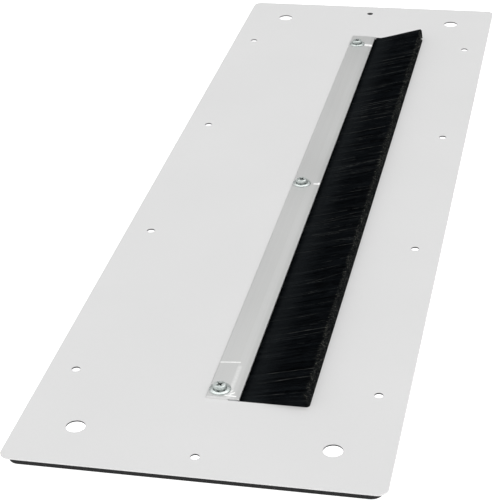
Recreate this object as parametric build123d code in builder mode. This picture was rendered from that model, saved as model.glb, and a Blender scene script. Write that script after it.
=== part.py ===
from build123d import *
import os

# Cable entry wall plate: a coated steel sheet with a long slot, closed by a strip
# brush that lets cables through. The brush sits in an aluminium holder, which is
# screwed along the left edge of the slot. Foam strips under the sheet seal it to
# the wall.
# Frame: the origin is at the sheet's centre, on the wall. X runs across, towards
# the bristle tips, Y along the length, and Z out of the wall.

# Sheet
plate_width = 250.0
plate_length = 810.0
sheet_thickness = 1.0
plate_corner_radius = 7.0
edge_break = 0.3

# Fixing holes: four large ones, a row of four small ones down each side, and one
# small one at each end
large_hole_diameter = 13.0
large_hole_inset = 40.0
small_hole_diameter = 6.0
small_hole_inset = 20.0
small_hole_pitch = 200.0
small_holes_per_side = 4

# Foam seal on the wall side
seal_thickness = 6.0
seal_width = 8.0
seal_inset = 3.8
seal_corner_radius = 8.0

# Slot for the cables
slot_left = 6.0
slot_corner_radius = 2.5

# Brush holder, an extruded profile
holder_length = 640.0
holder_left = -8.0
holder_width = 22.5
holder_crown_start = 5.5
holder_crown_drop = 0.5
flange_thickness = 1.6
flange_edge_radius = 0.5
channel_wall = 1.1
channel_back_wall = 1.2
channel_edge_radius = 0.6
lip_depth = 1.0

# Clearances
holder_end_clearance = 1.0
holder_side_clearance = 0.5
tip_clearance = 1.7
strip_slide_clearance = 0.1
bristle_clearance = 0.1

# Strip brush: a folded steel channel, the wire that locks the bristles in it, and
# the bristles
strip_height = 4.8
strip_depth = 5.4
strip_gauge = 0.5
strip_mouth_height = 4.0
strip_pinch_depth = 1.6
wire_diameter = 1.6
bristle_fold = 0.6
tip_reach = 60.3
tip_rise = 1.6
tip_height = 15.4
tip_lean = 13.0
tip_edge_break = 1.8
flare_start = 26.0
flare_start_drop = 1.4
flare_start_height = 5.4
flare_middle = 42.0
flare_middle_height = 9.4
far_splay = 7.0
tuft_pitch = 11.0
tuft_groove_width = 2.4
tuft_groove_depth = 1.4
tuft_groove_slope = 15.0
tuft_end_margin = 4.0

# Holder screws, with a toothed washer on a wide washer above, and a thin nut below
screw_x = -0.5
screw_count = 3
screw_pitch = 305.0
first_screw_margin = 9.0
screw_turns = (20.0, 65.0, 40.0)
screw_diameter = 5.0
screw_length = 8.0
thread_relief = 0.1
screw_point_chamfer = 0.6
screw_hole_diameter = 5.5
head_diameter = 9.4
head_height = 2.4
head_crown_height = 1.5
head_crown_width = 1.4
recess_width = 1.2
recess_span = 5.0
recess_depth = 1.7
wide_washer_diameter = 15.0
wide_washer_bore = 5.3
wide_washer_thickness = 1.2
toothed_washer_diameter = 10.0
toothed_washer_bore = 5.2
toothed_washer_thickness = 0.8
tooth_count = 8
tooth_gap = 1.4
tooth_length = 1.3
nut_across_flats = 8.0
nut_height = 2.7
nut_face_diameter = 7.4
nut_chamfer_slope = 0.58

# Heights above the wall
plate_bottom = seal_thickness
plate_top = plate_bottom + sheet_thickness
flange_top = plate_top + flange_thickness
wide_washer_top = flange_top + wide_washer_thickness
head_bottom = wide_washer_top + toothed_washer_thickness
nut_bottom = plate_bottom - nut_height

# Places across the plate, and lengths that follow from the holder
slot_right = tip_reach + tip_clearance
slot_width = slot_right - slot_left
slot_length = holder_length + 2 * holder_end_clearance
holder_right = holder_left + holder_width
channel_left = slot_left + holder_side_clearance
cavity_left = channel_left + channel_back_wall
cavity_height = strip_height + 2 * strip_slide_clearance
cavity_top = flange_top - holder_crown_drop - channel_wall
strip_z = cavity_top - cavity_height / 2
channel_bottom = strip_z - cavity_height / 2 - channel_wall
strip_left = cavity_left + strip_slide_clearance
strip_right = strip_left + strip_depth
lip_left = holder_right - lip_depth
lip_opening = strip_mouth_height
packed_left = strip_left + strip_gauge + bristle_clearance
wire_x = packed_left + bristle_fold + wire_diameter / 2
first_screw_y = -holder_length / 2 + first_screw_margin
screw_rows = [first_screw_y + row * screw_pitch for row in range(screw_count)]

os.makedirs("parts", exist_ok=True)

# Sheet, with its slot, its fixing holes and the holes for the holder screws
small_hole_x = plate_width / 2 - small_hole_inset
small_hole_y = plate_length / 2 - small_hole_inset
with BuildPart() as wall_plate:
    with BuildSketch(Plane.XY.offset(plate_bottom)):
        RectangleRounded(plate_width, plate_length, plate_corner_radius)
        with Locations(((slot_left + slot_right) / 2, 0)):
            RectangleRounded(slot_width, slot_length, slot_corner_radius, mode=Mode.SUBTRACT)
        with GridLocations(
            plate_width - 2 * large_hole_inset, plate_length - 2 * large_hole_inset, 2, 2
        ):
            Circle(large_hole_diameter / 2, mode=Mode.SUBTRACT)
        with GridLocations(2 * small_hole_x, small_hole_pitch, 2, small_holes_per_side):
            Circle(small_hole_diameter / 2, mode=Mode.SUBTRACT)
        with GridLocations(0, 2 * small_hole_y, 1, 2):
            Circle(small_hole_diameter / 2, mode=Mode.SUBTRACT)
        with Locations(*[(screw_x, row) for row in screw_rows]):
            Circle(screw_hole_diameter / 2, mode=Mode.SUBTRACT)
    extrude(amount=sheet_thickness)
    front_rim = wall_plate.faces().sort_by(Axis.Z)[-1].outer_wire()
    chamfer(front_rim.edges(), edge_break)
wall_plate.part.label = "wall_plate"
export_step(wall_plate.part, "parts/wall_plate.step")

# Foam seal: two long strips, and two end strips that run the full width and have
# their outer corners trimmed round
seal_span_x = plate_width - 2 * seal_inset
seal_span_y = plate_length - 2 * seal_inset
for side, name in ((-1, "seal_left"), (1, "seal_right")):
    with BuildPart() as long_seal:
        with BuildSketch():
            with Locations((side * (seal_span_x - seal_width) / 2, 0)):
                Rectangle(seal_width, seal_span_y - 2 * seal_width)
        extrude(amount=seal_thickness)
    long_seal.part.label = name
    export_step(long_seal.part, f"parts/{name}.step")

for side, name in ((-1, "seal_near"), (1, "seal_far")):
    with BuildPart() as end_seal:
        with BuildSketch():
            RectangleRounded(seal_span_x, seal_span_y, seal_corner_radius)
            with Locations((0, -side * seal_width)):
                Rectangle(seal_span_x, seal_span_y, mode=Mode.SUBTRACT)
        extrude(amount=seal_thickness)
    end_seal.part.label = name
    export_step(end_seal.part, f"parts/{name}.step")

# Brush holder: a flat flange on the sheet, and beside it a channel that hangs in
# the slot with its mouth towards the bristles. Over the channel the top falls
# slightly to the right.
with BuildPart() as brush_holder:
    with BuildSketch(Plane.XZ) as holder_section:
        with BuildLine():
            Polyline(
                (holder_left, plate_top),
                (holder_left, flange_top),
                (holder_crown_start, flange_top),
                (holder_right, flange_top - holder_crown_drop),
                (holder_right, channel_bottom),
                (channel_left, channel_bottom),
                (channel_left, plate_top),
                close=True,
            )
        make_face()
        with Locations((cavity_left, strip_z)):
            Rectangle(
                lip_left - cavity_left,
                cavity_height,
                align=(Align.MIN, Align.CENTER),
                mode=Mode.SUBTRACT,
            )
        with Locations((lip_left, strip_z)):
            Rectangle(
                lip_depth, lip_opening, align=(Align.MIN, Align.CENTER), mode=Mode.SUBTRACT
            )
        lower_corners = holder_section.vertices().group_by(Axis.Y)[0]
        fillet(lower_corners, channel_edge_radius)
    extrude(amount=holder_length / 2, both=True)
    with BuildSketch(Plane.XY.offset(plate_top)):
        with Locations(*[(screw_x, row) for row in screw_rows]):
            Circle(screw_hole_diameter / 2)
    extrude(amount=flange_thickness, mode=Mode.SUBTRACT)
    flange_rim = brush_holder.edges().filter_by(Axis.Y).group_by(Axis.X)[0]
    fillet(flange_rim.sort_by(Axis.Z)[-1], flange_edge_radius)
brush_holder.part.label = "brush_holder"
export_step(brush_holder.part, "parts/brush_holder.step")

# Steel channel of the strip brush, pinched at its mouth to grip the bristles
strip_waist = strip_right - strip_pinch_depth
with BuildPart() as brush_strip:
    with BuildSketch(Plane.XZ) as strip_section:
        with BuildLine():
            Polyline(
                (strip_left, strip_z - strip_height / 2),
                (strip_waist, strip_z - strip_height / 2),
                (strip_right, strip_z - strip_mouth_height / 2),
                (strip_right, strip_z + strip_mouth_height / 2),
                (strip_waist, strip_z + strip_height / 2),
                (strip_left, strip_z + strip_height / 2),
                close=True,
            )
        make_face()
        with BuildLine():
            Polyline(
                (strip_left + strip_gauge, strip_z - strip_height / 2 + strip_gauge),
                (strip_waist, strip_z - strip_height / 2 + strip_gauge),
                (strip_right, strip_z - strip_mouth_height / 2 + strip_gauge),
                (strip_right, strip_z + strip_mouth_height / 2 - strip_gauge),
                (strip_waist, strip_z + strip_height / 2 - strip_gauge),
                (strip_left + strip_gauge, strip_z + strip_height / 2 - strip_gauge),
                close=True,
            )
        make_face(mode=Mode.SUBTRACT)
        back_corners = strip_section.vertices().group_by(Axis.X)[0]
        fillet(back_corners, strip_gauge)
    extrude(amount=holder_length / 2, both=True)
brush_strip.part.label = "brush_strip"
export_step(brush_strip.part, "parts/brush_strip.step")

# Wire that the bristles are folded round
with BuildPart() as brush_wire:
    with BuildSketch(Plane.XZ):
        with Locations((wire_x, strip_z)):
            Circle(wire_diameter / 2)
    extrude(amount=holder_length / 2, both=True)
brush_wire.part.label = "brush_wire"
export_step(brush_wire.part, "parts/brush_wire.step")

# Bristles: folded round the wire in the steel channel, then flared towards cut tips
# that reach the far side of the slot. At the far end they also splay outwards, over
# the sheet. Grooves part the tips into tufts.
root_height = strip_mouth_height - 2 * strip_gauge - bristle_clearance
packed_height = strip_height - 2 * strip_gauge - bristle_clearance
bristle_length = holder_length - 2 * bristle_clearance
tip_z = plate_top + tip_rise
flare_stations = (
    (strip_right, strip_z, root_height, 0.0, 0.0),
    (holder_right, strip_z, root_height, 0.0, 0.0),
    (flare_start, plate_top - flare_start_drop, flare_start_height, tip_lean / 3, far_splay / 4),
    (flare_middle, plate_top, flare_middle_height, tip_lean * 2 / 3, far_splay / 2),
    (tip_reach, tip_z, tip_height, tip_lean, far_splay),
)
tip_normal = Vector(1, 0, 0).rotate(Axis.Y, -tip_lean)
tip_plane = Plane(origin=(tip_reach, 0, tip_z), x_dir=(0, 1, 0), z_dir=tip_normal)
tuft_count = int((bristle_length - 2 * tuft_end_margin) / tuft_pitch)
with BuildPart() as bristles:
    for station_x, station_z, height, lean, splay in flare_stations:
        facing = Vector(1, 0, 0).rotate(Axis.Y, -lean)
        station = Plane(origin=(station_x, splay / 2, station_z), x_dir=(0, 1, 0), z_dir=facing)
        with BuildSketch(station):
            Rectangle(bristle_length + splay, height)
    loft(ruled=True)
    tip_face = bristles.faces().sort_by(Axis.X)[-1]
    chamfer(tip_face.edges().sort_by(Axis.Z)[-1], tip_edge_break)
    with BuildSketch(Plane.XZ):
        with BuildLine():
            Polyline(
                (packed_left, strip_z - packed_height / 2),
                (strip_waist, strip_z - packed_height / 2),
                (strip_right, strip_z - root_height / 2),
                (strip_right, strip_z + root_height / 2),
                (strip_waist, strip_z + packed_height / 2),
                (packed_left, strip_z + packed_height / 2),
                close=True,
            )
        make_face()
        with Locations((wire_x, strip_z)):
            Circle(wire_diameter / 2, mode=Mode.SUBTRACT)
    extrude(amount=bristle_length / 2, both=True)
    with BuildSketch(tip_plane):
        with Locations((0, tip_height / 2)):
            with GridLocations(tuft_pitch, 0, tuft_count, 1):
                Polygon(
                    (-tuft_groove_width, tuft_groove_depth),
                    (0, -tuft_groove_depth),
                    (tuft_groove_width, tuft_groove_depth),
                    align=None,
                )
    groove_run = Vector(-1, 0, 0).rotate(Axis.Y, -tuft_groove_slope)
    extrude(amount=tip_reach - flare_start, dir=groove_run, mode=Mode.SUBTRACT)
    with BuildSketch(Plane.XY.offset(plate_top - tip_height)):
        with Locations((tip_reach + tuft_groove_depth, 0)):
            with GridLocations(0, tuft_pitch, 1, tuft_count):
                Polygon(
                    (0, -tuft_groove_width / 2),
                    (0, tuft_groove_width / 2),
                    (-2 * tuft_groove_depth, 0),
                    align=None,
                )
    groove_rise = Vector(0, 0, 1).rotate(Axis.Y, -tip_lean)
    extrude(amount=2 * tip_height, dir=groove_rise, mode=Mode.SUBTRACT)
    with Locations((slot_left, holder_length / 2, 0)):
        Box(
            slot_width,
            far_splay,
            plate_top + bristle_clearance,
            align=Align.MIN,
            mode=Mode.SUBTRACT,
        )
bristles.part.label = "bristles"
export_step(bristles.part, "parts/bristles.step")

# Fasteners of the holder, numbered from the near end
for number, (row, turn) in enumerate(zip(screw_rows, screw_turns), start=1):
    with BuildPart() as wide_washer:
        with BuildSketch(Plane.XY.offset(flange_top)):
            with Locations((screw_x, row)):
                Circle(wide_washer_diameter / 2)
                Circle(wide_washer_bore / 2, mode=Mode.SUBTRACT)
        extrude(amount=wide_washer_thickness)
    wide_washer.part.label = f"wide_washer_{number}"
    export_step(wide_washer.part, f"parts/wide_washer_{number}.step")

    with BuildPart() as toothed_washer:
        with BuildSketch(Plane.XY.offset(wide_washer_top)):
            with Locations((screw_x, row)):
                Circle(toothed_washer_diameter / 2)
                Circle(toothed_washer_bore / 2, mode=Mode.SUBTRACT)
                with PolarLocations(toothed_washer_diameter / 2, tooth_count):
                    Rectangle(2 * tooth_length, tooth_gap, mode=Mode.SUBTRACT)
        extrude(amount=toothed_washer_thickness)
    toothed_washer.part.label = f"toothed_washer_{number}"
    export_step(toothed_washer.part, f"parts/toothed_washer_{number}.step")

    with BuildPart() as holder_screw:
        with BuildSketch(Plane.XY.offset(head_bottom)):
            with Locations((screw_x, row)):
                Circle(head_diameter / 2)
        extrude(amount=head_height)
        chamfer(holder_screw.edges().sort_by(Axis.Z)[-1], head_crown_height, head_crown_width)
        with BuildSketch(Plane.XY.offset(head_bottom + head_height)):
            with Locations(Location((screw_x, row), turn)):
                Rectangle(recess_span, recess_width)
                Rectangle(recess_width, recess_span)
        extrude(amount=-recess_depth, mode=Mode.SUBTRACT)
        with BuildSketch(Plane.XY.offset(head_bottom)):
            with Locations((screw_x, row)):
                Circle(screw_diameter / 2 - thread_relief)
        extrude(amount=-screw_length)
        chamfer(holder_screw.edges().sort_by(Axis.Z)[0], screw_point_chamfer)
    holder_screw.part.label = f"holder_screw_{number}"
    export_step(holder_screw.part, f"parts/holder_screw_{number}.step")

    with BuildPart() as nut:
        with BuildSketch(Plane.XY.offset(nut_bottom)):
            with Locations(Location((screw_x, row), turn)):
                RegularPolygon(nut_across_flats / 2, 6, major_radius=False)
            with Locations((screw_x, row)):
                Circle(screw_diameter / 2, mode=Mode.SUBTRACT)
        extrude(amount=nut_height)
        with Locations((screw_x, row, nut_bottom)):
            Cone(
                nut_face_diameter / 2,
                nut_face_diameter / 2 + nut_height / nut_chamfer_slope,
                nut_height,
                align=(Align.CENTER, Align.CENTER, Align.MIN),
                mode=Mode.INTERSECT,
            )
    nut.part.label = f"nut_{number}"
    export_step(nut.part, f"parts/nut_{number}.step")
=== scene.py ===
# %% [markdown]
# # Cable entry wall plate
# A coated steel sheet that covers a hole in a wall. Cables pass through its long
# slot, and a strip brush closes the slot round them. This lesson starts from the
# measured CAD frame and gives each CAD piece its finish. It then replaces the plain
# block that stands for the bristles with strands, and the plain screws and wide
# washers with finished ones.

import math

import bmesh
import bpy
import numpy as np
from mathutils import Matrix, Vector


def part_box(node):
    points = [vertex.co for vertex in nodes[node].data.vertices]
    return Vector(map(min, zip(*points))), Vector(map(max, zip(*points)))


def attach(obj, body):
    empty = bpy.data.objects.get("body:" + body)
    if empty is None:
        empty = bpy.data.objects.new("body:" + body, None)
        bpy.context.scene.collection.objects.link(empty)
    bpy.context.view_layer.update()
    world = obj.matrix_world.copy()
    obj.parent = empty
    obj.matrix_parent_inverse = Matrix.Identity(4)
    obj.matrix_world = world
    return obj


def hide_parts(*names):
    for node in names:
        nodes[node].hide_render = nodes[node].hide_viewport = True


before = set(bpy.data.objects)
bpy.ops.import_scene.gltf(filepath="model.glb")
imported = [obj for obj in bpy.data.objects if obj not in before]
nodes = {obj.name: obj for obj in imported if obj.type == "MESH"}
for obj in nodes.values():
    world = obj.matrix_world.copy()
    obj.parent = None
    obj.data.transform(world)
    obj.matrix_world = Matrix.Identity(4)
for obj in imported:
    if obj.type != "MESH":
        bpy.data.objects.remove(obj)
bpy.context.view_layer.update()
print("nodes", sorted(nodes))

# %% [markdown]
# The first sizes below are the same as in the CAD source. Everything that is added
# to the frame is placed from them, or from the box of the CAD piece that carries it.

# %% Places in the frame, in metres
MM = 0.001
PLATE_TOP = 7.0 * MM
SLOT_RIGHT = 62.0 * MM
SCREW_X = -0.5 * MM
bristle_low, bristle_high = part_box("bristles")
wide_washer_low, wide_washer_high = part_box("wide_washer_1")
head_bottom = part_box("toothed_washer_1")[1][2]
screw_rows = [
    (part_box(f"holder_screw_{n}")[0][1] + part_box(f"holder_screw_{n}")[1][1]) / 2 for n in (1, 2, 3)
]
print("bristles", bristle_low, bristle_high)
print("screws at y", [round(y, 4) for y in screw_rows])

# %% [markdown]
# ## Materials
# Every finish is a small tree of nodes on one shader. The helper makes the shader
# and hands back what the cells need to add noise, bump and colour to it. Patterns
# read Object coordinates, so they have a real scale in metres and stay on the piece.
# A Mix node has sockets for every kind of data, so its colour sockets are found by
# their number.


# %% Material helpers
MIX_FIRST, MIX_SECOND, MIX_RESULT = 6, 7, 2


class Finish:
    """A material with its tree, its shader and one set of object coordinates."""

    def __init__(self, name, roughness, metallic=0.0):
        self.material = bpy.data.materials.new(name)
        self.material.use_nodes = True
        self.tree = self.material.node_tree
        self.shader = self.tree.nodes["Principled BSDF"]
        self.shader.inputs["Roughness"].default_value = roughness
        self.shader.inputs["Metallic"].default_value = metallic
        self.place = self.tree.nodes.new("ShaderNodeTexCoord").outputs["Object"]

    def node(self, kind, **settings):
        """A new node with its settings."""
        made = self.tree.nodes.new(kind)
        for key, value in settings.items():
            setattr(made, key, value)
        return made

    def link(self, start, end):
        """A wire from an output to an input."""
        self.tree.links.new(start, end)

    def feed(self, value, socket):
        """A number, a colour or a wire for an input."""
        if isinstance(value, tuple):
            socket.default_value = (*value, 1.0)
        elif isinstance(value, (int, float)):
            socket.default_value = value
        else:
            self.link(value, socket)

    def stretched(self, scale):
        """Object coordinates multiplied by a scale per axis."""
        mapping = self.node("ShaderNodeMapping")
        mapping.inputs["Scale"].default_value = scale
        self.link(self.place, mapping.inputs["Vector"])
        return mapping.outputs["Vector"]

    def noise(self, scale, detail=3.0, stretch=None):
        """Noise with a number of cells per metre, stretched if asked."""
        texture = self.node("ShaderNodeTexNoise")
        texture.inputs["Scale"].default_value = scale
        texture.inputs["Detail"].default_value = detail
        self.link(self.stretched(stretch) if stretch else self.place, texture.inputs["Vector"])
        return texture.outputs["Fac"]

    def cells(self, scale):
        """A cell texture with a number of cells per metre."""
        texture = self.node("ShaderNodeTexVoronoi")
        texture.inputs["Scale"].default_value = scale
        self.link(self.place, texture.inputs["Vector"])
        return texture

    def ramp(self, factor, stops):
        """A colour ramp through (position, colour) stops."""
        made = self.node("ShaderNodeValToRGB")
        elements = made.color_ramp.elements
        while len(elements) < len(stops):
            elements.new(0.5)
        for element, (position, colour) in zip(elements, stops):
            element.position = position
            element.color = (*colour, 1.0)
        self.link(factor, made.inputs["Fac"])
        return made.outputs["Color"]

    def span(self, factor, low, high, to_low, to_high):
        """A value carried from one range into another."""
        made = self.node("ShaderNodeMapRange")
        for socket, value in zip(
            ("From Min", "From Max", "To Min", "To Max"), (low, high, to_low, to_high)
        ):
            made.inputs[socket].default_value = value
        self.link(factor, made.inputs["Value"])
        return made.outputs["Result"]

    def mix(self, factor, first, second, blend="MIX"):
        """One colour over another by a factor."""
        made = self.node("ShaderNodeMix", data_type="RGBA", blend_type=blend)
        self.feed(factor, made.inputs["Factor"])
        self.feed(first, made.inputs[MIX_FIRST])
        self.feed(second, made.inputs[MIX_SECOND])
        return made.outputs[MIX_RESULT]

    def math(self, operation, first, second=None):
        """One step of arithmetic on sockets or numbers."""
        made = self.node("ShaderNodeMath", operation=operation)
        self.feed(first, made.inputs[0])
        if second is not None:
            self.feed(second, made.inputs[1])
        return made.outputs[0]

    def times(self, first, second):
        """Two values multiplied."""
        return self.math("MULTIPLY", first, second)

    def axis(self, letter):
        """One coordinate of the place, in metres."""
        made = self.node("ShaderNodeSeparateXYZ")
        self.link(self.place, made.inputs[0])
        return made.outputs[letter]

    def facing(self, letter):
        """How squarely a face looks along an axis, either way, from 0 to 1."""
        geometry = self.node("ShaderNodeNewGeometry")
        made = self.node("ShaderNodeSeparateXYZ")
        self.link(geometry.outputs["True Normal"], made.inputs[0])
        return self.math("ABSOLUTE", made.outputs[letter])

    def colour(self, socket):
        """Wires the shader's colour."""
        self.link(socket, self.shader.inputs["Base Color"])

    def roughness(self, socket):
        """Wires the shader's roughness."""
        self.link(socket, self.shader.inputs["Roughness"])

    def bump(self, height, strength, distance):
        """Relief on the shader's normal, on top of any that is there."""
        made = self.node("ShaderNodeBump")
        made.inputs["Strength"].default_value = strength
        made.inputs["Distance"].default_value = distance
        self.link(height, made.inputs["Height"])
        before = self.shader.inputs["Normal"]
        if before.is_linked:
            self.link(before.links[0].from_socket, made.inputs["Normal"])
        self.link(made.outputs["Normal"], before)


def dress(names, finish):
    """Gives CAD nodes their finish."""
    for name in names:
        piece = nodes[name]
        piece.data.materials.clear()
        piece.data.materials.append(finish.material)
    print(finish.material.name, "on", ", ".join(names))


# %% [markdown]
# The sheet has a light grey powder coat. Baked powder is smooth to the eye and
# slightly rippled close to, so a fine noise gives the relief, and a wide, faint noise
# varies the tone. The walls of the holes and of the slot are painted near black, as
# painted shade for the shade inside them; the sheet's outer edges keep the coat's tone.
# The normal tells upright faces from the flat ones, and the distance from the sheet's
# middle tells a hole's wall from the rim.

# %% Powder coat of the sheet
RIM_START_X, RIM_START_Y = 122.0 * MM, 402.0 * MM
coat = Finish("light grey powder coat", 0.5)
wide_tone = coat.noise(9.0, 2.0)
grain = coat.noise(1400.0, 2.0)
flat_tone = coat.ramp(wide_tone, ((0.3, (0.626, 0.626, 0.626)), (0.7, (0.64, 0.64, 0.64))))
speck = coat.ramp(grain, ((0.25, (0.60, 0.60, 0.60)), (0.42, (1.0, 1.0, 1.0))))
speckled = coat.mix(0.12, flat_tone, speck, "MULTIPLY")
upright = coat.span(coat.facing("Z"), 0.2, 0.6, 1.0, 0.0)
inside_x = coat.math("LESS_THAN", coat.math("ABSOLUTE", coat.axis("X")), RIM_START_X)
inside_y = coat.math("LESS_THAN", coat.math("ABSOLUTE", coat.axis("Y")), RIM_START_Y)
# Painted shade: upright walls inside the rim are coloured near black.
painted_wall_shade = coat.times(upright, coat.times(inside_x, inside_y))
coat.colour(coat.mix(painted_wall_shade, speckled, (0.018, 0.018, 0.019)))
coat.roughness(coat.span(grain, 0.3, 0.7, 0.42, 0.58))
coat.bump(grain, 0.12, 0.0002)
coat.bump(coat.noise(260.0, 1.0), 0.10, 0.0006)
dress(["wall_plate"], coat)

# %% [markdown]
# The seal is closed cell foam tape. Its skin is matt and full of small pits, which a
# cell texture makes better than noise, because each cell has a round bottom.

# %% Foam of the seal
foam = Finish("black cell foam", 0.92)
pits = foam.cells(900.0).outputs["Distance"]
# Painted shade: each pit is coloured darker towards its bottom.
foam.colour(foam.ramp(pits, ((0.1, (0.003, 0.003, 0.0032)), (0.6, (0.012, 0.012, 0.0122)))))
foam.bump(pits, 0.5, 0.0004)
foam.bump(foam.noise(120.0, 2.0), 0.3, 0.0008)
dress(["seal_near", "seal_far", "seal_left", "seal_right"], foam)

# %% [markdown]
# The holder is aluminium as it comes from the press: fine die lines along its length
# and a soft grey sheen. Noise that is stretched along Y makes the lines. The strip of
# its face next to the bristles, where the face rolls over, is painted darker: painted shade.

# %% Die lines of the holder
SHADE_STRIP_START, SHADE_STRIP_END = 10.2 * MM, 12.5 * MM
mill = Finish("mill finish aluminium", 0.42, 0.75)
across, along = mill.axis("X"), mill.axis("Y")
die_lines = mill.noise(900.0, 3.0, (1.0, 0.004, 1.0))
cloud = mill.noise(28.0, 3.0, (1.0, 0.25, 1.0))
base_tone = mill.ramp(die_lines, ((0.25, (0.635, 0.64, 0.633)), (0.75, (0.665, 0.67, 0.663))))
# Painted shade on the rolled-over strip next to the bristles.
painted_shade_by_bristles = mill.span(across, SHADE_STRIP_START, SHADE_STRIP_END, 0.0, 1.0)
face_tone = mill.mix(painted_shade_by_bristles, base_tone, (0.585, 0.59, 0.583))
mill.roughness(mill.span(cloud, 0.3, 0.7, 0.36, 0.50))
mill.bump(die_lines, 0.05, 0.0001)
print("die lines on", mill.material.name)

# %% [markdown]
# Here and there the face has a painted glint: a bright dash coloured in where a small
# dent would catch the light, with a bump for the dent. Each one is a thin dash across
# the flange at a measured place, straight or at a slant, and a noise breaks it up. A
# painted highlight streak runs along the flange beside the channel, from the near end
# to the first long glint.

# %% Painted glints and the painted highlight streak
# In millimetres: middle and half width along Y, left and right end, and the slope
PAINTED_GLINTS = (
    (-278.0, 0.75, -7.8, 6.4, 0.12),
    (-5.0, 1.5, 9.2, 13.0, 0.12),
    (-4.2, 2.4, 12.4, 14.4, 0.12),
    (297.5, 3.2, 7.2, 14.6, 0.0),
    (-314.6, 1.2, 7.4, 10.2, 0.9),
    (-311.6, 0.8, 7.0, 8.6, 1.2),
    (-317.6, 0.9, 4.0, 12.0, 0.0),
)
STREAK_X = 7.0 * MM
STREAK_CORE, STREAK_HALF = 0.4 * MM, 2.0 * MM
STREAK_FULL, STREAK_END = -283.0 * MM, -280.0 * MM
patchy = mill.span(mill.noise(500.0, 2.0), 0.35, 0.5, 0.6, 1.0)
painted_glint_mask = None
# Painted highlights: each glint is coloured white where a dent would catch the light.
for middle, half, left, right, slope in PAINTED_GLINTS:
    bent = mill.math("SUBTRACT", along, mill.times(across, slope))
    centre = (middle - slope * (left + right) / 2) * MM
    off = mill.math("ABSOLUTE", mill.math("SUBTRACT", bent, centre))
    near = mill.span(off, half * 0.4 * MM, half * MM, 1.0, 0.0)
    past_left = mill.math("GREATER_THAN", across, left * MM)
    before_right = mill.math("LESS_THAN", across, right * MM)
    one = mill.times(near, mill.times(past_left, before_right))
    painted_glint_mask = one if painted_glint_mask is None else mill.math("MAXIMUM", painted_glint_mask, one)
painted_glint_mask = mill.times(painted_glint_mask, patchy)
mill.bump(painted_glint_mask, 0.2, 0.0002)
# Painted highlight: a pale streak along the flange beside the channel.
off_streak = mill.math("ABSOLUTE", mill.math("SUBTRACT", across, STREAK_X))
streak_across = mill.span(off_streak, STREAK_CORE, STREAK_HALF, 0.32, 0.0)
streak_along = mill.span(along, STREAK_FULL, STREAK_END, 1.0, 0.0)
painted_highlight_streak = mill.times(streak_across, mill.times(streak_along, patchy))
print(len(PAINTED_GLINTS), "painted_glint_dashes and one rubbed streak")

# %% [markdown]
# The sawn ends are paler than the face, and the normal tells them apart. Below the
# sheet they are painted black, as painted shade for the shade inside the slot. The
# painted glints, the painted highlight streak and the sawn metal are all white and
# rough, so there the metallic value falls.

# %% Sawn ends, and the holder's whole finish
SAWN = 0.8
SLOT_SHADE_DEPTH = 0.2 * MM
sawn = mill.span(mill.facing("Y"), 0.7, 0.9, 0.0, SAWN)
pale = mill.math("MAXIMUM", mill.math("MAXIMUM", painted_glint_mask, painted_highlight_streak), sawn)
faced = mill.mix(pale, face_tone, (0.97, 0.97, 0.96))
# Painted shade: the sawn ends below the sheet's top are coloured black.
below = mill.span(mill.axis("Z"), PLATE_TOP - SLOT_SHADE_DEPTH, PLATE_TOP, 1.0 / SAWN, 0.0)
mill.colour(mill.mix(mill.times(sawn, below), faced, (0.012, 0.012, 0.012)))
mill.link(mill.span(pale, 0.0, 1.0, 0.75, 0.1), mill.shader.inputs["Metallic"])
dress(["brush_holder"], mill)

# %% [markdown]
# The strip brush is folded from galvanised strip. Zinc that has set on hot steel
# shows flat crystals of slightly different grey, so a cell texture's colour output
# gives each crystal its own tone. The wire inside it has the same finish.

# %% Galvanised strip and its wire
spangle = Finish("galvanised steel", 0.4, 0.9)
crystal_parts = spangle.node("ShaderNodeSeparateColor")
spangle.link(spangle.cells(260.0).outputs["Color"], crystal_parts.inputs[0])
crystal_tone = crystal_parts.outputs[0]
spangle.colour(
    spangle.ramp(crystal_tone, ((0.0, (0.42, 0.44, 0.46)), (1.0, (0.60, 0.62, 0.63))))
)
spangle.roughness(spangle.span(crystal_tone, 0.0, 1.0, 0.3, 0.5))
dress(["brush_strip", "brush_wire"], spangle)

# %% [markdown]
# Screws, wide washers and nuts are zinc plated. The plate is bright with a faint cool
# green cast, and it dulls in patches from handling. The screws get a finish of their
# own further on, because their recess gets painted shade.

# %% Bright zinc of the nuts and the wide washers
zinc = Finish("bright zinc plate", 0.28, 1.0)
handled = zinc.noise(420.0, 3.0)
zinc.colour(zinc.ramp(handled, ((0.35, (0.55, 0.60, 0.585)), (0.65, (0.74, 0.78, 0.765)))))
zinc.roughness(zinc.span(handled, 0.3, 0.7, 0.22, 0.40))
zinc.bump(zinc.noise(2500.0, 2.0), 0.12, 0.0001)
dress([f"nut_{n}" for n in (1, 2, 3)], zinc)

# %% [markdown]
# The toothed washers are hardened spring steel, with duller plating than the screws.
# Their tone is also set darker as painted shade, so each shows as a darker ring under
# the head of its screw, where shade falls.

# %% Dull plated steel of the toothed washers
spring = Finish("dull plated spring steel", 0.4, 0.9)
oxide = spring.noise(600.0, 3.0)
# Partly the duller plating, partly painted shade for the ring under each head.
spring.colour(spring.ramp(oxide, ((0.3, (0.40, 0.43, 0.42)), (0.7, (0.56, 0.59, 0.58)))))
spring.roughness(spring.span(oxide, 0.3, 0.7, 0.32, 0.5))
spring.bump(spring.noise(2500.0, 2.0), 0.12, 0.0001)
dress([f"toothed_washer_{n}" for n in (1, 2, 3)], spring)

# %% [markdown]
# ## Making pieces by hand
# New pieces start from a primitive at its size and place and are shaped in edit
# mode. The small helpers below keep the selection clean, because an operator acts on
# everything that is selected, and put each finished piece's place into its mesh.


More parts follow.
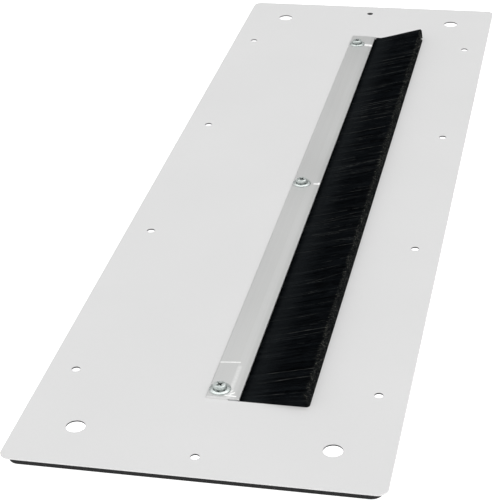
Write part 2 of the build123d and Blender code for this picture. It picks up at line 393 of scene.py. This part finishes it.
# %% Modelling helpers
def start_clean():
    """Nothing selected, object mode."""
    if bpy.context.object and bpy.context.object.mode != "OBJECT":
        bpy.ops.object.mode_set(mode="OBJECT")
    bpy.ops.object.select_all(action="DESELECT")


def choose(piece):
    """One piece selected and active, object mode."""
    start_clean()
    bpy.context.view_layer.objects.active = piece
    piece.select_set(True)


def edit(piece):
    """Edit mode on one piece, with nothing in its mesh selected."""
    choose(piece)
    bpy.ops.object.mode_set(mode="EDIT")
    bpy.ops.mesh.select_all(action="DESELECT")


def pick(piece, test, kind="faces"):
    """Selects the faces, edges or vertices that pass a test, in edit mode."""
    mesh = bmesh.from_edit_mesh(piece.data)
    bpy.ops.mesh.select_all(action="DESELECT")
    for element in getattr(mesh, kind):
        if test(element):
            element.select_set(True)
    mesh.select_flush_mode()
    bmesh.update_edit_mesh(piece.data)


def settle(piece):
    """The place, turn and size of a piece go into its mesh."""
    choose(piece)
    bpy.ops.object.transform_apply(location=True, rotation=True, scale=True)


def apply_modifiers(piece):
    """The result of a piece's modifiers becomes its mesh."""
    choose(piece)
    for modifier in list(piece.modifiers):
        bpy.ops.object.modifier_apply(modifier=modifier.name)


def smooth(piece):
    """Smooth shading between faces that meet at less than 35 degrees."""
    choose(piece)
    bpy.ops.object.shade_smooth_by_angle(angle=math.radians(35))


def copy_to(model, name, place):
    """A named copy with its own mesh, carried to its place."""
    piece = model.copy()
    piece.data = model.data.copy()
    piece.name = name
    bpy.context.collection.objects.link(piece)
    piece.data.transform(place)
    return piece


def finish_piece(piece, finish):
    """Finish and body of a new piece."""
    piece.data.materials.clear()
    piece.data.materials.append(finish.material)
    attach(piece, "root")
    piece.data.calc_loop_triangles()
    print(piece.name, len(piece.data.loop_triangles), "triangles")


# %% [markdown]
# ## The holder screws
# Three low pan head screws with a cross recess hold the brush holder. One head is
# turned from a cylinder: its top edge is rounded by a bevel, and a tapered cross is
# cut into it by a boolean. Two crossed blocks, narrowed at their lower ends, cut the
# slots one after the other.

# %% Model one head, with its underside at the origin
HEAD_RADIUS = 4.7 * MM
HEAD_HEIGHT = 2.05 * MM
CROWN_ROUNDING = 1.45 * MM
FOOT_ROUNDING = 0.15 * MM
start_clean()
bpy.ops.mesh.primitive_cylinder_add(
    vertices=64, radius=HEAD_RADIUS, depth=HEAD_HEIGHT, location=(0, 0, HEAD_HEIGHT / 2)
)
head = bpy.context.object
edit(head)
pick(head, lambda f: f.normal.z > 0.9)
bpy.ops.mesh.bevel(offset=CROWN_ROUNDING, segments=10, profile=0.5, affect="EDGES")
pick(head, lambda f: f.normal.z < -0.9)
bpy.ops.mesh.bevel(offset=FOOT_ROUNDING, segments=2, affect="EDGES")
bpy.ops.object.mode_set(mode="OBJECT")
settle(head)
print("head", len(head.data.polygons), "faces")

# %% Cut the cross recess
RECESS_SPAN = 5.0 * MM
RECESS_WIDTH = 1.4 * MM
RECESS_DEPTH = 1.5 * MM
RECESS_TAPER = 0.7
for turn in (0.0, 90.0):
    start_clean()
    bpy.ops.mesh.primitive_cube_add(size=1.0, location=(0, 0, HEAD_HEIGHT))
    cutter = bpy.context.object
    cutter.scale = (RECESS_SPAN, RECESS_WIDTH, 2 * RECESS_DEPTH)
    cutter.rotation_euler = (0, 0, math.radians(turn))
    settle(cutter)
    edit(cutter)
    pick(cutter, lambda v: v.co.z < HEAD_HEIGHT, "verts")
    bpy.ops.transform.resize(value=(RECESS_TAPER, RECESS_TAPER, 1.0))
    bpy.ops.object.mode_set(mode="OBJECT")
    cut = head.modifiers.new("recess", "BOOLEAN")
    cut.operation = "DIFFERENCE"
    cut.solver = "EXACT"
    cut.object = cutter
    apply_modifiers(head)
    bpy.data.objects.remove(cutter)
print("head with recess", len(head.data.polygons), "faces")

# %% [markdown]
# A thread is one small profile wound round the axis, which is what a screw modifier
# does. The profile is a closed loop and a little lower than the pitch, so the turns
# stay apart, and the two open ends of the wound thread are filled. It is sunk a
# little into a plain core, and thread, core and head are joined.

# %% Wind the thread
SHANK_LENGTH = 8.0 * MM
THREAD_PITCH = 0.8 * MM
THREAD_OUTER = 2.42 * MM
THREAD_INNER = 2.05 * MM
THREAD_RUNOUT = 0.1 * MM
start_clean()
profile_mesh = bpy.data.meshes.new("thread profile")
profile_mesh.from_pydata(
    [
        (THREAD_INNER, 0, 0.03 * THREAD_PITCH),
        (THREAD_OUTER, 0, 0.45 * THREAD_PITCH),
        (THREAD_OUTER, 0, 0.55 * THREAD_PITCH),
        (THREAD_INNER, 0, 0.97 * THREAD_PITCH),
    ],
    [(0, 1), (1, 2), (2, 3), (3, 0)],
    [],
)
thread = bpy.data.objects.new("thread", profile_mesh)
bpy.context.collection.objects.link(thread)
wind = thread.modifiers.new("wind", "SCREW")
wind.screw_offset = THREAD_PITCH
wind.iterations = int(SHANK_LENGTH / THREAD_PITCH) - 1
wind.steps = 32
wind.render_steps = 32
apply_modifiers(thread)
edit(thread)
bpy.ops.mesh.select_all(action="SELECT")
bpy.ops.mesh.fill_holes(sides=4)
bpy.ops.mesh.normals_make_consistent(inside=False)
bpy.ops.object.mode_set(mode="OBJECT")
thread.location = (0, 0, -SHANK_LENGTH + THREAD_RUNOUT)
settle(thread)
print("thread", len(thread.data.polygons), "faces")

# %% Turn the core and join the three
THREAD_SUNK = 0.02 * MM
CORE_RADIUS = THREAD_INNER + THREAD_SUNK
POINT_CHAMFER = 0.35 * MM
start_clean()
bpy.ops.mesh.primitive_cylinder_add(
    vertices=48, radius=CORE_RADIUS, depth=SHANK_LENGTH, location=(0, 0, -SHANK_LENGTH / 2)
)
core = bpy.context.object
edit(core)
pick(core, lambda f: f.normal.z < -0.9)
bpy.ops.mesh.bevel(offset=POINT_CHAMFER, segments=2, affect="EDGES")
bpy.ops.object.mode_set(mode="OBJECT")
settle(core)
start_clean()
for part in (thread, core, head):
    part.select_set(True)
bpy.context.view_layer.objects.active = head
bpy.ops.object.join()
screw_model = head
smooth(screw_model)
print("screw model", len(screw_model.data.polygons), "faces")

# %% [markdown]
# The finish of the screws is bright zinc too. Their recess is painted darker by its
# depth below the crown, as painted shade for the shade inside it. Only the middle of
# each head may darken, so the finish also works out how far the nearest screw's axis
# is, as a square.

# %% Finish of the screws
RECESS_SHADE_REACH = 2.6 * MM
RECESS_SHADE_TOP, RECESS_SHADE_FULL = 0.03 * MM, 0.25 * MM
steel = Finish("bright zinc of the screws", 0.26, 1.0)
steel_patch = steel.noise(500.0, 3.0)
steel_tone = steel.ramp(steel_patch, ((0.35, (0.58, 0.64, 0.62)), (0.65, (0.78, 0.83, 0.81))))
crown_z = head_bottom + HEAD_HEIGHT
depth = steel.span(steel.axis("Z"), crown_z - RECESS_SHADE_FULL, crown_z - RECESS_SHADE_TOP, 1.0, 0.0)
nearest = None
for row in screw_rows:
    side = steel.math("SUBTRACT", steel.axis("X"), SCREW_X)
    ahead = steel.math("SUBTRACT", steel.axis("Y"), row)
    squared = steel.math("ADD", steel.times(side, side), steel.times(ahead, ahead))
    nearest = squared if nearest is None else steel.math("MINIMUM", nearest, squared)
in_recess = steel.math("LESS_THAN", nearest, RECESS_SHADE_REACH**2)
# Painted shade in the recess.
recess_shade = steel.times(depth, in_recess)
steel.colour(steel.mix(recess_shade, steel_tone, (0.24, 0.28, 0.27)))
steel.roughness(steel.span(steel_patch, 0.3, 0.7, 0.2, 0.38))
steel.bump(steel.noise(2600.0, 2.0), 0.12, 0.0001)
print("grime below z", round(crown_z - RECESS_SHADE_TOP, 5))

# %% Copy the screw to its three places, each turned its own way
SCREW_TURNS = (45.0, 65.0, 40.0)
for number, (row, turn) in enumerate(zip(screw_rows, SCREW_TURNS), start=1):
    turned = Matrix.Rotation(math.radians(turn), 4, "Z")
    place = Matrix.Translation((SCREW_X, row, head_bottom)) @ turned
    screw = copy_to(screw_model, f"pan_head_screw_{number}", place)
    finish_piece(screw, steel)
    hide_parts(f"holder_screw_{number}")
bpy.data.objects.remove(screw_model)

# %% [markdown]
# ## The wide washers
# A punched washer has one soft rim, where the punch drew the metal down, and that rim
# catches a bright line of light. The CAD washer is sharp, so a rounded one replaces
# it. A ring is quickest made as its section. A small upright rectangle is cut at the
# place where its top begins to slope, its outer top corner is drawn down, and the cut
# is dissolved again, because it would leave a wall inside the ring. Both bends are
# rounded by bevels, and the section is spun once round the axis of the screw.

# %% Draw the section of one washer
WASHER_RADIUS = 7.5 * MM
WASHER_BORE = 2.65 * MM
WASHER_ROUNDING = 0.35 * MM
WASHER_SLOPE_START = 5.2 * MM
WASHER_SLOPE_ROUNDING = 0.5 * MM
WASHER_DROP = 0.6 * MM
washer_height = wide_washer_high[2] - wide_washer_low[2]


def on_slope_start(vertex):
    """Whether a vertex lies where the top begins to slope."""
    return abs(vertex.co.x - WASHER_SLOPE_START) < 0.01 * MM


def on_outer_corner(vertex, share):
    """Whether a vertex lies on the outer rim, above a share of the height."""
    return vertex.co.x > 0.9 * WASHER_RADIUS and vertex.co.z > share * washer_height


start_clean()
bpy.ops.mesh.primitive_plane_add(
    size=1.0,
    location=((WASHER_RADIUS + WASHER_BORE) / 2, 0, washer_height / 2),
    rotation=(math.radians(90), 0, 0),
)
washer_model = bpy.context.object
washer_model.scale = (WASHER_RADIUS - WASHER_BORE, washer_height, 1.0)
settle(washer_model)
edit(washer_model)
bpy.ops.mesh.select_all(action="SELECT")
bpy.ops.mesh.bisect(plane_co=(WASHER_SLOPE_START, 0, 0), plane_no=(1, 0, 0))
pick(washer_model, lambda v: on_outer_corner(v, 0.9), "verts")
bpy.ops.transform.translate(value=(0, 0, -WASHER_DROP))
pick(washer_model, lambda e: all(on_slope_start(v) for v in e.verts), "edges")
bpy.ops.mesh.dissolve_edges(use_verts=False)
pick(washer_model, lambda v: on_outer_corner(v, 0.4), "verts")
bpy.ops.mesh.bevel(offset=WASHER_ROUNDING, segments=5, affect="VERTICES")
pick(washer_model, lambda v: on_slope_start(v) and v.co.z > 0.9 * washer_height, "verts")
bpy.ops.mesh.bevel(offset=WASHER_SLOPE_ROUNDING, segments=4, affect="VERTICES")
bpy.ops.object.mode_set(mode="OBJECT")
print("washer section", len(washer_model.data.vertices), "corners")

# %% Spin it, and copy the washer to its three places
edit(washer_model)
bpy.ops.mesh.select_all(action="SELECT")
bpy.ops.mesh.delete(type="ONLY_FACE")
bpy.ops.mesh.select_all(action="SELECT")
bpy.ops.mesh.spin(steps=72, angle=math.tau, center=(0, 0, 0), axis=(0, 0, 1))
bpy.ops.mesh.select_all(action="SELECT")
bpy.ops.mesh.remove_doubles(threshold=0.01 * MM)
bpy.ops.mesh.normals_make_consistent(inside=False)
bpy.ops.object.mode_set(mode="OBJECT")
smooth(washer_model)
print("washer model", [round(v, 5) for v in washer_model.dimensions])
for number, row in enumerate(screw_rows, start=1):
    place = Matrix.Translation((SCREW_X, row, wide_washer_low[2]))
    washer = copy_to(washer_model, f"rounded_washer_{number}", place)
    finish_piece(washer, zinc)
    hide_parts(f"wide_washer_{number}")
bpy.data.objects.remove(washer_model)

# %% [markdown]
# ## The bristles
# The real brush holds thousands of strands, each folded in half round a wire. They
# leave the holder as a flat sheet and spread towards their cut tips. Modelling each
# one by hand is hopeless, and a solid block looks dead, so this lesson does both: a
# dark core fills the depth, one bristle is modelled by hand, and copies of its mesh
# are laid over the core along paths that spread and clump as the real ones do. The
# cut face leans back above its middle, and more strongly below it, and at the far
# end the strands splay outwards.

# %% The spread of the brush, from the holder's mouth to the tips
BRUSH_STATIONS = np.array([13.4, 14.6, 26.0, 42.0, 60.3]) * MM
BRUSH_MIDDLE = PLATE_TOP + np.array([-2.5, -2.5, -1.4, 0.1, 1.6]) * MM
BRUSH_HEIGHT = np.array([2.7, 2.7, 5.4, 9.4, 14.0]) * MM
TIP_LEAN = math.tan(math.radians(6.0))
UNDER_LEAN = math.tan(math.radians(13.0))
NEAR_END, FAR_END = -319.6 * MM, 319.6 * MM
SLOT_END = 320.6 * MM
FAR_SPLAY = 7.0 * MM
SPLAY_START, SPLAY_RUN = 285.0 * MM, 35.0 * MM


def brush_height(x, level):
    """Height of a strand at x, where level runs from 0 underneath to 1 on top."""
    middle = np.interp(x, BRUSH_STATIONS, BRUSH_MIDDLE)
    return middle + (level - 0.5) * np.interp(x, BRUSH_STATIONS, BRUSH_HEIGHT)


def tip_lean(above_middle):
    """How far the cut face stands back at a height above its middle."""
    return above_middle * np.where(above_middle > 0, TIP_LEAN, UNDER_LEAN)


def splay(y, share):
    """How far a strand near the far end leans outwards at a share of its length."""
    return FAR_SPLAY * np.clip((y - SPLAY_START) / SPLAY_RUN, 0, 1) ** 2 * share**1.3


print("cut face between z", [round(brush_height(BRUSH_STATIONS[-1], n), 5) for n in (0, 1)])

# %% [markdown]
# Two attributes of the strands drive their finish: each strand's own tone, and the
# reach, which runs from 0 at the root to 1 at the tip. The nylon is nearly black, and
# a strand shines only where it turns to the light, so a noise makes its tone come and
# go as a painted highlight. Next to the holder all get a painted sheen that makes them
# a little greyer, and some of the cut ends show pale where the blade bruised them.

# %% Finish of the strands
strand_finish = Finish("black nylon strands", 0.5)
strand_finish.shader.inputs["Specular IOR Level"].default_value = 0.05
tone = strand_finish.node("ShaderNodeAttribute", attribute_name="tone").outputs["Fac"]
reach = strand_finish.node("ShaderNodeAttribute", attribute_name="reach").outputs["Fac"]
strand_tone = strand_finish.ramp(
    tone,
    (
        (0.0, (0.0010, 0.0015, 0.0021)),
        (0.55, (0.0024, 0.0035, 0.0048)),
        (0.9, (0.016, 0.0195, 0.0225)),
        (1.0, (0.085, 0.089, 0.086)),
    ),
)
# Painted highlight: where the noise is low, the strand's tone gives way to a dull one.
catch = strand_finish.span(strand_finish.noise(130.0, 2.0), 0.42, 0.6, 0.65, 0.0)
strand_tone = strand_finish.mix(catch, strand_tone, (0.0042, 0.0058, 0.0075))
# Painted sheen: strands a little way from the holder are coloured greyer.
root_start = strand_finish.span(reach, 0.04, 0.12, 0.0, 1.0)
root_end = strand_finish.span(reach, 0.15, 0.5, 0.6, 0.0)
painted_root_sheen = strand_finish.times(root_start, root_end)
with_root_sheen = strand_finish.mix(painted_root_sheen, strand_tone, (0.017, 0.020, 0.022))
cut_end = strand_finish.span(reach, 0.975, 1.0, 0.0, 1.0)
speckle = strand_finish.span(strand_finish.noise(900.0, 1.0), 0.56, 0.66, 0.05, 1.0)
bruised = strand_finish.span(tone, 0.3, 0.8, 0.0, 1.0)
pale_end = strand_finish.times(strand_finish.times(cut_end, speckle), bruised)
strand_finish.colour(strand_finish.mix(pale_end, with_root_sheen, (0.30, 0.30, 0.255)))
print("strand finish reads tone and reach")

# %% [markdown]
# The core is a finely divided cube whose corners are moved to where the brush is, a
# little inside its surface. It stays clear of the slot's far end below the sheet.

# %% The dark core under the strands
CORE_INSET = 0.9 * MM
CORE_INSET_SHARE = 0.2
CORE_END_INSET = 1.6 * MM
CORE_ROOT, CORE_LENGTH = 14.0, 45.4
CORE_SLOT_TOP = PLATE_TOP + 0.4 * MM
CORE_SLOT_END = SLOT_END - 0.8 * MM
start_clean()
bpy.ops.mesh.primitive_cube_add(size=1.0, location=(0.5, 0.0, 0.5))
brush_core = bpy.context.object
brush_core.name = "bristle_core"
edit(brush_core)
bpy.ops.mesh.select_all(action="SELECT")
bpy.ops.mesh.subdivide(number_cuts=31)
bpy.ops.object.mode_set(mode="OBJECT")
settle(brush_core)
core_places = np.empty(len(brush_core.data.vertices) * 3)
brush_core.data.vertices.foreach_get("co", core_places)
share, side, level = core_places.reshape(-1, 3).T
x = (CORE_ROOT + share * CORE_LENGTH) * MM
y = side * (FAR_END - NEAR_END - 2 * CORE_END_INSET)
height = np.interp(x, BRUSH_STATIONS, BRUSH_HEIGHT)
inset = np.minimum(CORE_INSET, height * CORE_INSET_SHARE)
z = brush_height(x, level) + inset * (1 - 2 * level)
lean = -tip_lean(z - brush_height(x, 0.5)) * share**4
y = y + splay(y, share)
y = np.where(z < CORE_SLOT_TOP, np.minimum(y, CORE_SLOT_END), y)
brush_core.data.vertices.foreach_set("co", np.column_stack([x + lean, y, z]).ravel())
brush_core.data.update()

core_finish = Finish("black brush core", 0.6)
core_finish.shader.inputs["Specular IOR Level"].default_value = 0.03
streak = core_finish.noise(700.0, 3.0, (0.04, 1.0, 0.3))
core_finish.colour(
    core_finish.ramp(streak, ((0.35, (0.0008, 0.001, 0.0014)), (0.7, (0.003, 0.0036, 0.0045))))
)
core_finish.bump(streak, 0.8, 0.0006)
finish_piece(brush_core, core_finish)
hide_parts("bristles")

# %% [markdown]
# One bristle is a three-sided strand of unit length. Bisecting it gives the places at
# which it can bend. Both its ends are closed, so every strand is a solid of its own.


# %% Model one bristle
def bristle_model(bends):
    """Stations along one bristle, offsets round it, and its faces."""
    start_clean()
    bpy.ops.mesh.primitive_cylinder_add(
        vertices=3,
        radius=1.0,
        depth=1.0,
        location=(0.5, 0, 0),
        rotation=(0, math.radians(90), 0),
    )
    bristle = bpy.context.object
    settle(bristle)
    edit(bristle)
    for n in range(1, bends):
        bpy.ops.mesh.select_all(action="SELECT")
        bpy.ops.mesh.bisect(plane_co=(n / bends, 0, 0), plane_no=(1, 0, 0))
    bpy.ops.object.mode_set(mode="OBJECT")
    corners = np.array([v.co for v in bristle.data.vertices])
    faces = [list(p.vertices) for p in bristle.data.polygons]
    bpy.data.objects.remove(bristle)
    return np.rint(corners[:, 0] * bends).astype(int), corners[:, 1:], faces


for bends in (2, 4):
    print("bristle with", bends, "bends:", len(bristle_model(bends)[2]), "faces")

# %% [markdown]
# Thousands of copies would be slow to make as objects, so each layer is one mesh. The
# corners of every copy are worked out together, and each keeps its tone and reach.


# %% Lay copies of the bristle along paths
TIP_TAPER = 0.75


def lay_bristles(name, paths, radius, tones, shares):
    """One mesh that holds a copy of the bristle for each path of places."""
    total, places = paths.shape[:2]
    station, ring, faces = bristle_model(places - 1)
    taper = np.where(station == places - 1, TIP_TAPER, 1.0)
    points = paths[:, station, :].copy()
    points[:, :, 1] += ring[None, :, 0] * radius[:, None] * taper
    points[:, :, 2] += ring[None, :, 1] * radius[:, None] * taper
    corners = len(station)
    quads = np.array([f for f in faces if len(f) == 4])
    caps = np.array([f for f in faces if len(f) == 3])
    first = np.arange(total)[:, None, None] * corners
    loops = np.concatenate([(quads[None] + first).ravel(), (caps[None] + first).ravel()])
    sizes = np.concatenate([np.full(total * len(quads), 4), np.full(total * len(caps), 3)])
    mesh = bpy.data.meshes.new(name)
    mesh.vertices.add(total * corners)
    mesh.vertices.foreach_set("co", points.ravel())
    mesh.loops.add(len(loops))
    mesh.loops.foreach_set("vertex_index", loops.astype(np.int32))
    mesh.polygons.add(len(sizes))
    starts = np.concatenate([[0], np.cumsum(sizes)[:-1]])
    mesh.polygons.foreach_set("loop_start", starts.astype(np.int32))
    mesh.update(calc_edges=True)
    mesh.validate()
    for label, values in (
        ("tone", np.repeat(tones, corners)),
        ("reach", shares[:, station].ravel()),
    ):
        layer = mesh.attributes.new(label, "FLOAT", "POINT")
        layer.data.foreach_set("value", values.astype(np.float32))
    piece = bpy.data.objects.new(name, mesh)
    bpy.context.collection.objects.link(piece)
    finish_piece(piece, strand_finish)
    return piece


# %% [markdown]
# The strands stand in clumps, as they were gathered when the brush was made. Each
# clump has a place, a drift along the brush, a lift and a tone, all drawn once from
# a fixed seed. The last two clumps at either end don't drift, so the ends stay straight.

# %% Clumps of the brush
draw = np.random.default_rng(12)
CLUMP_PITCH = 6.5 * MM
CLUMP_SHIFT = 0.35
CLUMP_DRIFT, CLUMP_LIFT = 1.1, 0.45
CLUMP_TONE = 0.25
clump_count = int((FAR_END - NEAR_END) / CLUMP_PITCH) + 2
clump_shift = draw.uniform(-CLUMP_SHIFT, CLUMP_SHIFT, clump_count)
clump_y = NEAR_END + (np.arange(clump_count) - 0.5 + clump_shift) * CLUMP_PITCH
clump_drift = draw.normal(0.0, CLUMP_DRIFT, clump_count) * MM
clump_lift = draw.normal(0.0, CLUMP_LIFT, clump_count) * MM
clump_tone = draw.uniform(-CLUMP_TONE, CLUMP_TONE, clump_count)
clump_drift[:2] = 0.0
clump_drift[-2:] = 0.0
print(clump_count, "clumps")

# %% [markdown]
# A path starts in the holder and ends at the cut face. On its way it drifts and
# lifts with its clump and draws in towards the clump's middle, and a few strands
# stray. All lean a little towards the far end, except close to both ends. What lies
# below the sheet's top is kept inside the slot. The spreads below are in millimetres.


# %% Paths of the bristles
ROOT_X, TIP_X = 13.6 * MM, 60.3 * MM
TIP_SPREAD = 0.28
DRIFT_SPREAD, STRAY_SPREAD, LIFT_SPREAD = 0.55, 4.5, 0.2
STRAY_SHARE, STRAY_CLEAR, STRAY_LEVEL = 0.06, 5 * MM, 0.8
GATHER_LEAST, GATHER_MOST, GATHER_ZONE = 0.1, 0.45, 6 * MM
LEAN_TO_FAR, LEAN_ZONE = 5.0 * MM, 60 * MM
CROWN_DROP, CROWN_LEVEL = 0.8 * MM, 0.82
LOWEST, HIGHEST = 0.9 * MM, bristle_high[2] - 0.1 * MM
SLOT_CLEAR = 0.3 * MM
OWN_TONE, CLUMP_SHARE, BRIGHTEST_PLAIN = 0.92, 0.35, 0.9
BRIGHT_SHARE, BRIGHT_TONE = 0.03, 0.95


def bristle_paths(total, level, start, bends, low=NEAR_END, high=FAR_END):
    """Paths for a number of bristles whose level and start along the brush are given."""
    root = draw.uniform(low, high, total)
    clump = np.abs(root[:, None] - clump_y[None]).argmin(axis=1)
    from_end = np.minimum(root - NEAR_END, FAR_END - root)
    stray = (draw.random(total) < STRAY_SHARE) & (from_end > STRAY_CLEAR)
    drift = clump_drift[clump] + draw.normal(0.0, DRIFT_SPREAD, total) * MM
    drift = np.where(stray, draw.normal(0.0, STRAY_SPREAD, total) * MM, drift)
    gather = (clump_y[clump] - root) * draw.uniform(GATHER_LEAST, GATHER_MOST, total)
    gather = gather * np.clip(from_end / GATHER_ZONE, 0, 1)
    lift = clump_lift[clump] + draw.normal(0.0, LIFT_SPREAD, total) * MM
    stray_lift = np.abs(lift) + draw.uniform(0.1, 0.7, total) * MM
    lift = np.where(stray & (level > STRAY_LEVEL), stray_lift, lift)
    crown = CROWN_DROP * np.clip((level - CROWN_LEVEL) / (1 - CROWN_LEVEL), 0, 1) ** 2
    tip_x = TIP_X - tip_lean(brush_height(TIP_X, level) - brush_height(TIP_X, 0.5))
    tip_x = tip_x - crown + draw.normal(0.0, TIP_SPREAD, total) * MM
    share = start[:, None] + (1 - start[:, None]) * np.linspace(0, 1, bends + 1)[None]
    x = ROOT_X + (tip_x[:, None] - ROOT_X) * share
    from_near = np.clip((root - NEAR_END) / LEAN_ZONE, 0, 1)
    from_far = np.clip((FAR_END - root) / LEAN_ZONE, 0, 1)
    drift = drift + LEAN_TO_FAR * from_near * from_far
    ease = share**1.5
    y = root[:, None] + (drift + gather)[:, None] * ease + splay(root[:, None], share)
    z = brush_height(x, level[:, None]) + lift[:, None] * ease
    z = np.clip(z, LOWEST, HIGHEST)
    in_slot = z < PLATE_TOP + SLOT_CLEAR
    y = np.clip(y, NEAR_END - SLOT_CLEAR, None)
    y = np.where(in_slot, np.minimum(y, SLOT_END), y)
    x = np.where(in_slot, np.minimum(x, SLOT_RIGHT - SLOT_CLEAR), x)
    tones = OWN_TONE * draw.random(total) ** 1.4 + clump_tone[clump] * CLUMP_SHARE
    tones = np.clip(tones, 0, BRIGHTEST_PLAIN)
    bright = draw.random(total) < BRIGHT_SHARE
    tones = np.where(bright, draw.uniform(BRIGHT_TONE, 1.0, total), tones)
    return np.stack([x, y, z], axis=2), share, tones


print("strands run from x", ROOT_X, "to", TIP_X, "and between z", LOWEST, "and", round(HIGHEST, 5))

# %% [markdown]
# The upper layer is what the camera sees, so it is densest, in two pieces. Short
# strands fill the cut face, a thin layer lies underneath, and both ends get a wall
# of strands. The few bright strands of the upper layer are a little thicker.

# %% Lay the upper layer in two pieces
UPPER = 7600
UPPER_DEPTH = 0.16
BRIGHT_THICKER = 1.3
for letter in ("a", "b"):
    level = 1.0 - UPPER_DEPTH * draw.random(UPPER) ** 1.5
    paths, shares, tones = bristle_paths(UPPER, level, np.zeros(UPPER), 4)
    thicker = np.where(tones > BRIGHTEST_PLAIN, BRIGHT_THICKER, 1.0)
    radius = draw.uniform(0.13, 0.18, UPPER) * MM * thicker
    lay_bristles(f"upper_bristles_{letter}", paths, radius, tones, shares)

# %% Lay the tips, the lower layer and the two ends
TIPS = 13500
level = draw.uniform(0.02, 0.98, TIPS)
start = draw.uniform(0.74, 0.8, TIPS)
paths, shares, tones = bristle_paths(TIPS, level, start, 2)
lay_bristles("bristle_tips", paths, draw.uniform(0.14, 0.19, TIPS) * MM, tones, shares)

UNDER = 5200
UNDER_DEPTH = 0.10
level = UNDER_DEPTH * draw.random(UNDER)
paths, shares, tones = bristle_paths(UNDER, level, np.zeros(UNDER), 4)
lay_bristles("lower_bristles", paths, draw.uniform(0.15, 0.2, UNDER) * MM, tones, shares)

ENDS = 2200
END_DEPTH = 1.2 * MM
for label, low, high in (
    ("near", NEAR_END, NEAR_END + END_DEPTH),
    ("far", FAR_END - END_DEPTH, FAR_END),
):
    level = draw.random(ENDS)
    paths, shares, tones = bristle_paths(ENDS, level, np.zeros(ENDS), 4, low, high)
    lay_bristles(f"end_bristles_{label}", paths, np.full(ENDS, 0.17 * MM), tones, shares)

# %% [markdown]
# ## The studio
# The plate lies on a white table that glows, as a light table does, so the holes show
# white and no shadow falls.

# %% Floor
FLOOR_Z = -0.0003
start_clean()
bpy.ops.mesh.primitive_plane_add(size=12.0, location=(0, 0, FLOOR_Z))
floor = bpy.context.object
floor.name = "floor"
table = Finish("white table", 0.9)
table.shader.inputs["Base Color"].default_value = (0.62, 0.62, 0.62, 1.0)
table.shader.inputs["Emission Color"].default_value = (1.0, 1.0, 1.0, 1.0)
table.shader.inputs["Emission Strength"].default_value = 0.9
floor.data.materials.append(table.material)
print("floor", list(floor.dimensions))

# %% [markdown]
# A pale surround gives soft, even light, and each part of it has a job that shows in
# the metal. Low down beyond the far end it is greyer, so the flat holder that mirrors
# it looks darker than the sheet. High up beyond the far end hangs a softbox, which the
# sloping rims of the washers mirror as bright crescents.

# %% Surround
SKY_STRENGTH = 0.72
GREY_STRENGTH = 0.44
SOFTBOX_STRENGTH = 1.1
world = bpy.data.worlds.new("white surround")
bpy.context.scene.world = world
world.use_nodes = True
sky = world.node_tree
around = sky.nodes.new("ShaderNodeTexCoord")
ways = sky.nodes.new("ShaderNodeSeparateXYZ")
sky.links.new(around.outputs["Generated"], ways.inputs[0])


def sky_span(factor, low, high, to_low, to_high):
    """A direction's part carried from one range into another."""
    made = sky.nodes.new("ShaderNodeMapRange")
    for socket, value in zip(
        ("From Min", "From Max", "To Min", "To Max"), (low, high, to_low, to_high)
    ):
        made.inputs[socket].default_value = value
    sky.links.new(factor, made.inputs["Value"])
    return made.outputs["Result"]


def sky_math(operation, first, second):
    """Two values of the surround brought together."""
    made = sky.nodes.new("ShaderNodeMath")
    made.operation = operation
    sky.links.new(first, made.inputs[0])
    sky.links.new(second, made.inputs[1])
    return made.outputs[0]


beyond = sky_span(ways.outputs["Y"], 0.2, 0.75, 0.0, 1.0)
low_down = sky_span(ways.outputs["Z"], 0.45, 0.8, 1.0, 0.0)
grey = sky_math("MULTIPLY", beyond, low_down)
high_up = sky_span(ways.outputs["Z"], 0.68, 0.75, 0.0, 1.0)
not_overhead = sky_span(ways.outputs["Y"], 0.18, 0.30, 0.0, 1.0)
softbox = sky_math("MULTIPLY", high_up, not_overhead)
even = sky_span(grey, 0.0, 1.0, SKY_STRENGTH, GREY_STRENGTH)
glow = sky_span(softbox, 0.0, 1.0, 0.0, SOFTBOX_STRENGTH)
background = sky.nodes["Background"]
background.inputs["Color"].default_value = (1.0, 1.0, 1.0, 1.0)
sky.links.new(sky_math("ADD", even, glow), background.inputs["Strength"])
print("surround", SKY_STRENGTH, "grey", GREY_STRENGTH, "softbox", SOFTBOX_STRENGTH)

# %% [markdown]
# A wide, soft sun from the right lights the side of the brush that faces the camera.
# It isn't mirrored in the metal, where it would put a hot spot on every screw head.
# The view transform is the plain one, so a white stays white.

# %% Sun and view
SUN_FROM = (0.7, -0.35, 1.3)
sun_data = bpy.data.lights.new("soft sun", "SUN")
sun_data.energy = 1.3
sun_data.angle = math.radians(50.0)
sun = bpy.data.objects.new("soft sun", sun_data)
bpy.context.collection.objects.link(sun)
sun.visible_glossy = False
sun.rotation_euler = Vector(SUN_FROM).to_track_quat("Z", "Y").to_euler()
bpy.context.scene.view_settings.view_transform = "Standard"
print("sun from", SUN_FROM)

# %% [markdown]
# The camera stands where the photographer stood: the perspective of the fourteen
# fixing holes gives its distance, height and turn. The fit was made with the top of
# the sheet at zero, so the sheet's height is added to the camera's.

# %% Camera
CAMERA_PLACE = Matrix(
    (
        (0.977276, -0.068875, 0.200471, 0.228047),
        (0.208326, 0.486759, -0.848331, -1.183100),
        (-0.039152, 0.870817, 0.490046, 0.614065 + PLATE_TOP),
        (0.0, 0.0, 0.0, 1.0),
    )
)
camera_data = bpy.data.cameras.new("camera")
camera_data.lens = 116.738
camera_data.sensor_width = 36.0
camera_data.clip_start = 0.01
camera = bpy.data.objects.new("camera", camera_data)
bpy.context.collection.objects.link(camera)
camera.matrix_world = CAMERA_PLACE
bpy.context.scene.camera = camera
print("camera at", [round(v, 3) for v in CAMERA_PLACE.translation])
